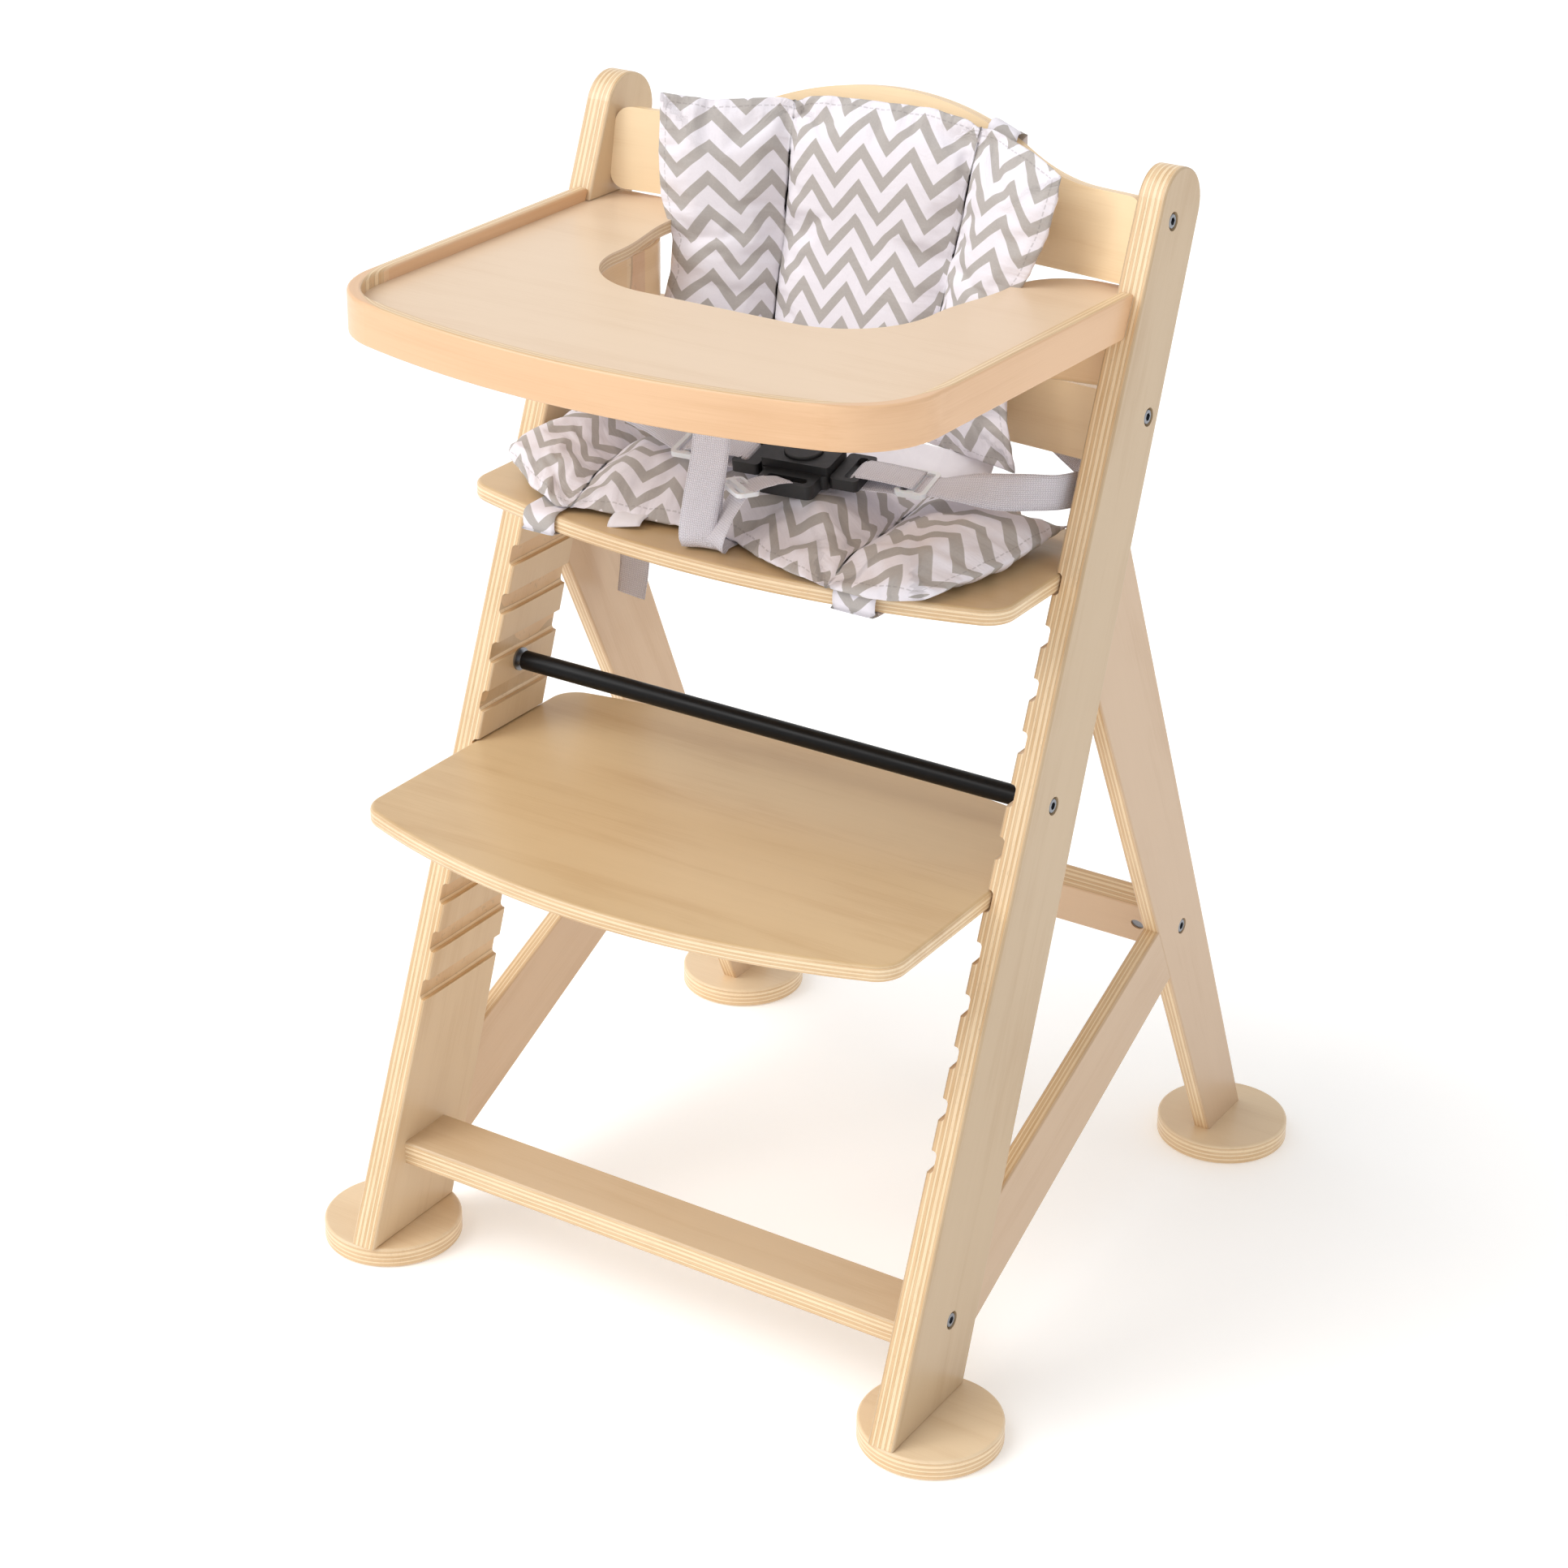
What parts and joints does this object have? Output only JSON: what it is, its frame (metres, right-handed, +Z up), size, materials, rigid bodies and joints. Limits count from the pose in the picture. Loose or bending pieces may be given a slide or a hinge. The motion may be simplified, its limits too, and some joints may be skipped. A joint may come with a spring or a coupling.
{
  "type": "baby high chair",
  "caption": "Plywood high chair for a small child: leaning grooved side frames, sliding seat and foot plate, tray with bent rim and safety bow, padded liner and belt",
  "frame": {"origin": "on the floor, at the middle of the footprint of the four foot discs", "axes": "+Z up, -Y the way the child faces, +X the child's left-hand side; the side frames lean back toward +Y"},
  "size_m": [0.558, 0.595, 0.8327],
  "materials": {
    "birch_ply": "satin clear lacquer, pale birch with darker plies on the cut edges",
    "tray_ply": "satin lacquered pale birch face",
    "bent_ply": "satin lacquered bent beech-toned veneer, laminated edges",
    "backrest_ply": "satin lacquered warm yellow birch face",
    "hardwood": "plain dowel wood",
    "zinc": "zinc plated steel",
    "black_tube": "gloss black enamel",
    "spring_steel": "bright steel",
    "chevron_fabric": "printed cotton, white with warm grey zigzags, padded",
    "white_webbing": "woven white webbing",
    "plain_fabric": "plain white fabric",
    "black_plastic": "moulded black acetal",
    "white_plastic": "moulded white acetal, slightly translucent"
  },
  "bodies": {
    "frame": {"upright_left": "birch_ply", "upright_right": "birch_ply", "rear_leg_left": "birch_ply", "rear_leg_right": "birch_ply", "side_brace_left": "birch_ply", "side_brace_right": "birch_ply", "foot_disc_front_left": "birch_ply", "foot_disc_front_right": "birch_ply", "foot_disc_rear_left": "birch_ply", "foot_disc_rear_right": "birch_ply", "front_crossbar": "birch_ply", "rear_crossbar": "birch_ply", "upper_backrest": "backrest_ply", "lower_backrest": "backrest_ply", "leg_dowels": "hardwood", "brace_dowels": "hardwood", "tension_tube": "black_tube", "tube_end_inserts": "zinc", "tube_washers": "zinc", "backrest_bolts": "zinc", "tube_bolts": "zinc", "front_crossbar_bolts": "zinc", "rear_crossbar_bolts": "zinc", "crossbar_barrel_nuts": "zinc", "backrest_insert_nuts": "zinc", "foot_screws": "zinc", "back_cushion": "chevron_fabric", "cushion_bridge": "plain_fabric", "back_loop": "plain_fabric", "waist_strap_left": "white_webbing", "waist_strap_right": "white_webbing"},
    "seat": {"seat_plate": "birch_ply", "seat_cushion": "chevron_fabric", "seat_loop_left": "chevron_fabric", "seat_loop_right": "chevron_fabric", "cushion_label": "plain_fabric", "crotch_strap": "white_webbing", "crotch_slider": "white_plastic", "buckle_body": "black_plastic", "button_spring": "spring_steel"},
    "button": {"buckle_button": "black_plastic"},
    "tongue_left": {"buckle_tongue_left": "black_plastic", "strap_doubled_left": "white_webbing", "strap_adjuster_left": "white_plastic"},
    "tongue_right": {"buckle_tongue_right": "black_plastic", "strap_doubled_right": "white_webbing", "strap_adjuster_right": "white_plastic"},
    "foot_rest": {"foot_plate": "birch_ply"},
    "tray": {"tray_board": "tray_ply", "tray_rim": "bent_ply", "safety_bow": "bent_ply", "bow_dowels": "hardwood"}
  },
  "joints": [
    {"name": "seat_slide", "type": "slide", "parent": "frame", "child": "seat", "axis": [0, -1, 0], "range_m": [0, 0.04], "deforming": ["cushion_bridge", "waist_strap_left", "waist_strap_right"]},
    {"name": "foot_plate_slide", "type": "slide", "parent": "frame", "child": "foot_rest", "axis": [0, -1, 0], "range_m": [-0.05, 0.05]},
    {"name": "tray_slide", "type": "slide", "parent": "frame", "child": "tray", "axis": [0, -1, 0], "range_m": [0, 0.04]},
    {"name": "button_press", "type": "slide", "parent": "seat", "child": "button", "axis": [-0.02, 0.165, -0.9861], "range_m": [0, 0.0025], "stiffness_N_per_m": 400, "springref_m": -0.002, "deforming": ["button_spring"]},
    {"name": "tongue_left_slide", "type": "slide", "parent": "seat", "child": "tongue_left", "axis": [-0.9926, -0.1213, 0], "range_m": [0, 0.022], "deforming": ["waist_strap_left"]},
    {"name": "tongue_right_slide", "type": "slide", "parent": "seat", "child": "tongue_right", "axis": [0.9926, 0.1213, 0], "range_m": [0, 0.022], "deforming": ["waist_strap_right"]}
  ]
}
